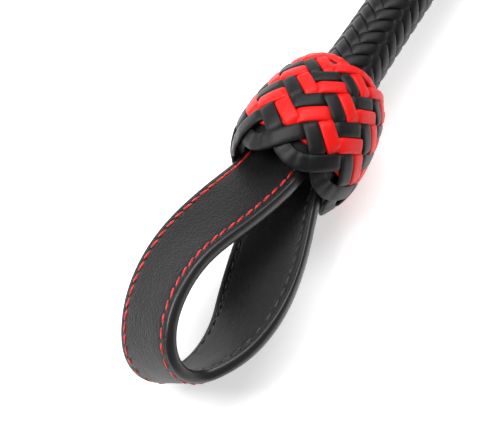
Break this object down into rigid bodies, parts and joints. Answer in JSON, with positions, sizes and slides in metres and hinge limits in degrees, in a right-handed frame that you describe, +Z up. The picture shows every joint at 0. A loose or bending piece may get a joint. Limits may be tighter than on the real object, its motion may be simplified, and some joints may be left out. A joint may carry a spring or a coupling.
{
  "type": "riding crop",
  "caption": "Slender braided leather riding crop with a bulbous pineapple knot, a short stitched hand loop at the butt and a flat leather keeper at the tip.",
  "frame": {"origin": "on the crop's straight axis at the pineapple knot's mouth, where the hand loop leaves the butt", "axes": "+X along the crop from the butt to the keeper, +Z up with the crop laid down on its knot, +Y to the side of the keeper's width"},
  "size_m": [0.7849, 0.0386, 0.0353],
  "materials": {
    "fibreglass_rod": "smooth pultruded fibreglass",
    "turned_wood": "turned, unfinished",
    "black_strap_leather": "fine grained, semi-matte",
    "black_lining_leather": "fine grained, matte",
    "black_lace_leather": "smooth lace, semi-matte",
    "red_lace_leather": "smooth lace, semi-matte",
    "black_plait_leather": "smooth plaited strands, semi-matte",
    "red_thread": "waxed twisted thread",
    "black_thread": "waxed twisted thread"
  },
  "bodies": {
    "handle": {"core_rod": "fibreglass_rod", "handle_core": "turned_wood", "knot_foundation": "turned_wood", "strap_tail_upper": "black_strap_leather", "strap_tail_lower": "black_strap_leather", "tail_binding": "black_thread", "knot_black_lace": "black_lace_leather", "knot_red_lace": "red_lace_leather", "handle_plait": "black_plait_leather", "collar_foundation": "turned_wood", "collar_black_lace": "black_lace_leather", "collar_red_lace": "red_lace_leather", "shaft_plait": "black_plait_leather", "keeper_fold": "black_strap_leather", "keeper_binding": "black_thread"},
    "wrist_loop": {"loop_outer_leather": "black_strap_leather", "loop_lining": "black_lining_leather", "loop_red_stitching": "red_thread", "loop_black_stitching": "black_thread"},
    "keeper": {"keeper_upper_leaf": "black_strap_leather", "keeper_lower_leaf": "black_strap_leather", "keeper_stitching": "red_thread"}
  },
  "joints": [
    {"name": "loop_swing", "type": "hinge", "parent": "handle", "child": "wrist_loop", "pos_m": [-0.009, 0, 0], "axis": [0, 0.866, -0.5], "range_deg": [-50, 50], "stiffness_Nm_per_rad": 0.05},
    {"name": "keeper_bend", "type": "hinge", "parent": "handle", "child": "keeper", "pos_m": [0.642, 0, 0], "axis": [0, 1, 0], "range_deg": [-60, 60], "stiffness_Nm_per_rad": 0.08}
  ]
}
